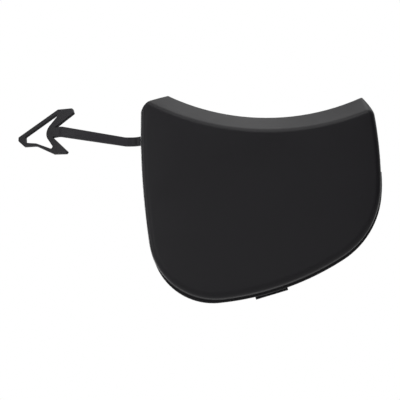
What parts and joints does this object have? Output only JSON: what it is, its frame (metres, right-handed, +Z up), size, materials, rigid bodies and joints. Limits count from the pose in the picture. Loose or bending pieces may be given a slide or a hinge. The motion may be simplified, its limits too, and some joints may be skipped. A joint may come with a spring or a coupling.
{
  "type": "bumper tow hook cover",
  "caption": "Rounded bumper cover panel for a towing-eye opening, with a concave top shelf, snap hooks and a flat tether ending in an arrow anchor.",
  "frame": {"origin": "in the plane of the rear rim, where the housing rests on the ledge of the bumper, near the middle of the panel", "axes": "+X to the right seen from in front of the car, along the panel and the tether; +Y straight back into the bumper; +Z up"},
  "size_m": [0.1555, 0.0304, 0.0886],
  "materials": {
    "black_plastic": "fine satin grain, unpainted"
  },
  "bodies": {
    "root": {"tow_hook_cover": "black_plastic"}
  },
  "joints": []
}
